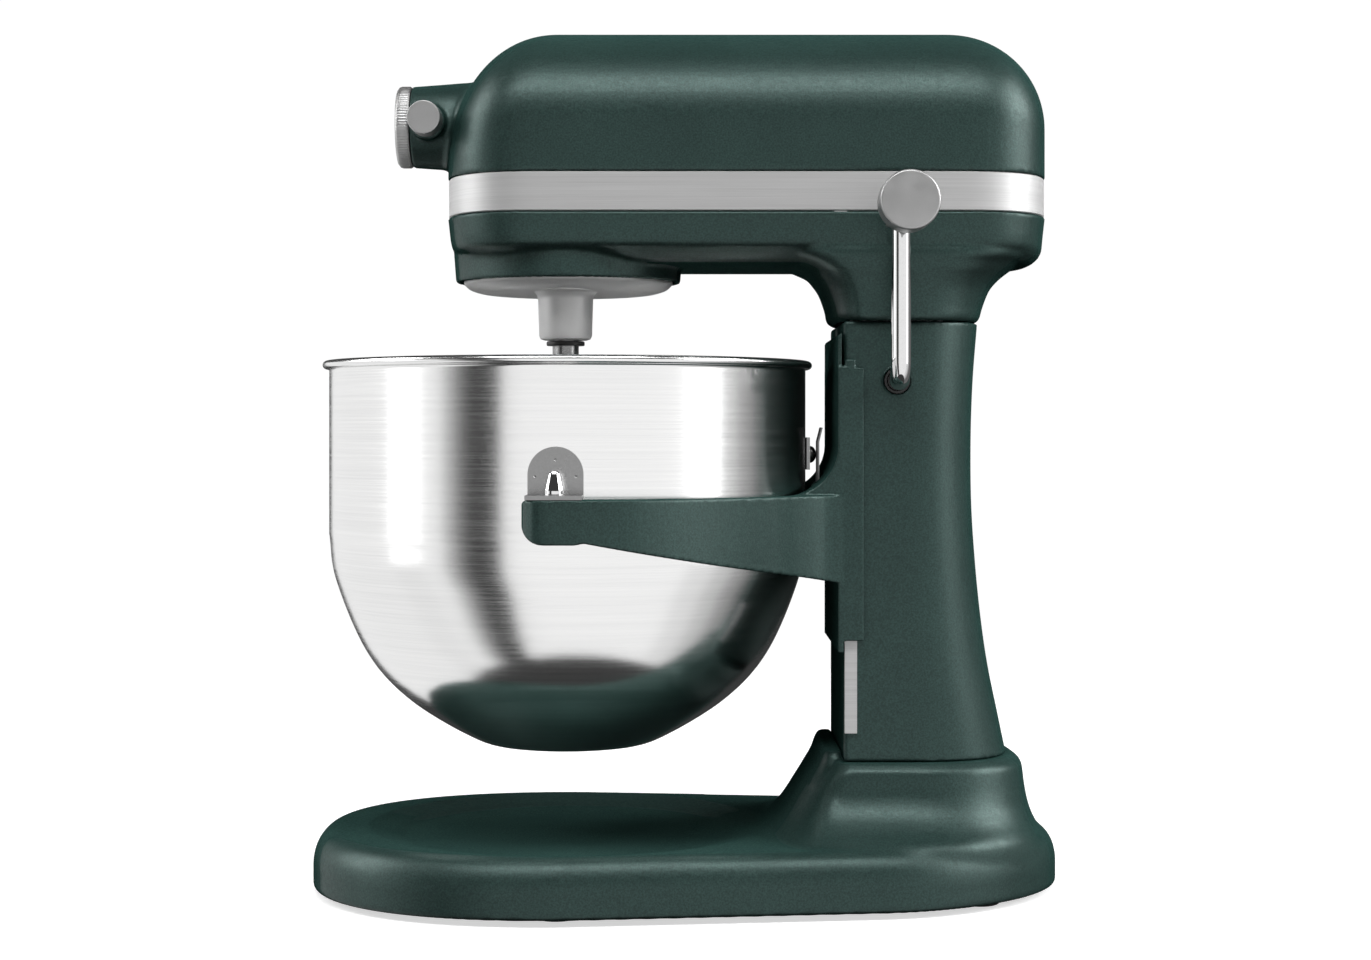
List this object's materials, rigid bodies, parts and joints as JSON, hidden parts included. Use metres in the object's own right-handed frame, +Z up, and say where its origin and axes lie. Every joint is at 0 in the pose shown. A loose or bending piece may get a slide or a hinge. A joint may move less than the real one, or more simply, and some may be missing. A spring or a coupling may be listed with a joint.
{
  "type": "stand mixer",
  "caption": "Bowl-lift kitchen stand mixer with a steel bowl on a sliding yoke, a lift lever, a planetary beater drive and a front attachment hub.",
  "frame": {"origin": "centre of the object's box, on the table that the feet stand on", "axes": "+Z up; -X towards the bowl and the attachment hub, +X towards the column; the lift lever is on the -Y side and the speed lever on the +Y side"},
  "size_m": [0.3684, 0.287, 0.423],
  "materials": {
    "green_paint": "dark green textured satin paint",
    "brushed_trim": "brushed",
    "satin_silver": "satin",
    "chrome": "polished",
    "stainless": "brushed",
    "steel": "machined",
    "bronze": "machined",
    "copper": "wound",
    "rubber": "matte",
    "black_plastic": "matte",
    "circuit_board": "matte"
  },
  "bodies": {
    "stand": {"base_casting": "green_paint", "rubber_foot_1": "rubber", "rubber_foot_2": "rubber", "rubber_foot_3": "rubber", "rubber_foot_4": "rubber", "rubber_foot_5": "rubber", "column_bolt_1": "steel", "column_bolt_2": "steel", "column_bolt_3": "steel", "column_bolt_4": "steel", "column_casting": "green_paint", "guide_strip_right": "brushed_trim", "guide_strip_left": "brushed_trim", "lever_bush": "black_plastic", "lower_housing": "green_paint", "cord_gland": "rubber", "trim_band": "brushed_trim", "upper_housing": "green_paint", "ring_gear": "steel", "planetary_bearing": "bronze", "gearbox_plate": "steel", "centre_bearing": "bronze", "step_bearing": "bronze", "motor_stator": "steel", "brush_holder_right": "bronze", "brush_holder_left": "bronze", "control_board": "circuit_board", "speed_plate": "satin_silver"},
    "carriage": {"carriage_yoke": "green_paint", "locating_pin_right": "chrome", "locating_pin_left": "chrome", "lift_bracket": "steel", "bowl_clip": "steel"},
    "lift_lever": {"lift_lever_rod": "chrome", "lift_knob": "satin_silver", "lift_crank": "steel"},
    "bowl": {"bowl_shell": "stainless", "bowl_ear_right": "stainless", "bowl_ear_left": "stainless", "bowl_handle": "stainless", "bowl_rear_stud": "stainless"},
    "planetary": {"planetary_housing": "satin_silver", "centre_shaft": "steel", "centre_gear": "steel", "hub_drive_pinion": "steel"},
    "beater_drive": {"beater_shaft": "chrome", "shaft_collar": "black_plastic", "beater_pinion": "steel"},
    "step_gear": {"step_shaft": "steel", "step_pinion": "steel", "worm_wheel": "bronze"},
    "armature": {"motor_shaft": "steel", "armature_core": "copper", "commutator": "copper", "cooling_fan": "black_plastic"},
    "hub_drive": {"hub_socket": "steel", "hub_bevel_gear": "steel"},
    "hub_cover": {"hub_cap": "satin_silver"},
    "thumb_screw": {"attachment_knob": "satin_silver"},
    "speed_control": {"speed_lever": "black_plastic"}
  },
  "joints": [
    {"name": "carriage_lift", "type": "slide", "parent": "stand", "child": "carriage", "axis": [0, 0, 1], "range_m": [-0.038, 0]},
    {"name": "lift_lever_turn", "type": "hinge", "parent": "stand", "child": "lift_lever", "pos_m": [0.1013, -0.05, 0.2503], "axis": [0, 1, 0], "range_deg": [0, 160]},
    {"name": "bowl_lift_off", "type": "slide", "parent": "carriage", "child": "bowl", "axis": [0, 0, 1], "range_m": [0, 0.018]},
    {"name": "planetary_spin", "type": "hinge", "parent": "stand", "child": "planetary", "pos_m": [-0.0585, 0, 0.3], "axis": [0, 0, 1], "continuous": true},
    {"name": "beater_spin", "type": "hinge", "parent": "planetary", "child": "beater_drive", "pos_m": [-0.0585, -0.028, 0.3], "axis": [0, 0, 1], "continuous": true},
    {"name": "step_gear_spin", "type": "hinge", "parent": "stand", "child": "step_gear", "pos_m": [-0.00547, -0.018, 0.33], "axis": [0, 0, 1], "continuous": true},
    {"name": "motor_spin", "type": "hinge", "parent": "stand", "child": "armature", "pos_m": [0.1, 0.0204, 0.343], "axis": [1, 0, 0], "continuous": true},
    {"name": "hub_drive_spin", "type": "hinge", "parent": "stand", "child": "hub_drive", "pos_m": [-0.12, 0, 0.3778], "axis": [1, 0, 0], "continuous": true},
    {"name": "hub_cover_pull", "type": "slide", "parent": "stand", "child": "hub_cover", "axis": [-1, 0, 0], "range_m": [0, 0.03]},
    {"name": "thumb_screw_turn", "type": "hinge", "parent": "stand", "child": "thumb_screw", "pos_m": [-0.1265, -0.035, 0.3778], "axis": [0, 1, 0], "continuous": true},
    {"name": "speed_slide", "type": "slide", "parent": "stand", "child": "speed_control", "axis": [1, 0, 0], "range_m": [0, 0.04]}
  ],
  "couplings": [
    {"joint": "lift_lever_turn", "follows": "carriage_lift", "rad_per_m": -73.48},
    {"joint": "beater_spin", "follows": "planetary_spin", "ratio": -2.75},
    {"joint": "step_gear_spin", "follows": "planetary_spin", "ratio": -3.6667},
    {"joint": "motor_spin", "follows": "planetary_spin", "ratio": -19.25},
    {"joint": "hub_drive_spin", "follows": "planetary_spin", "ratio": -1}
  ]
}
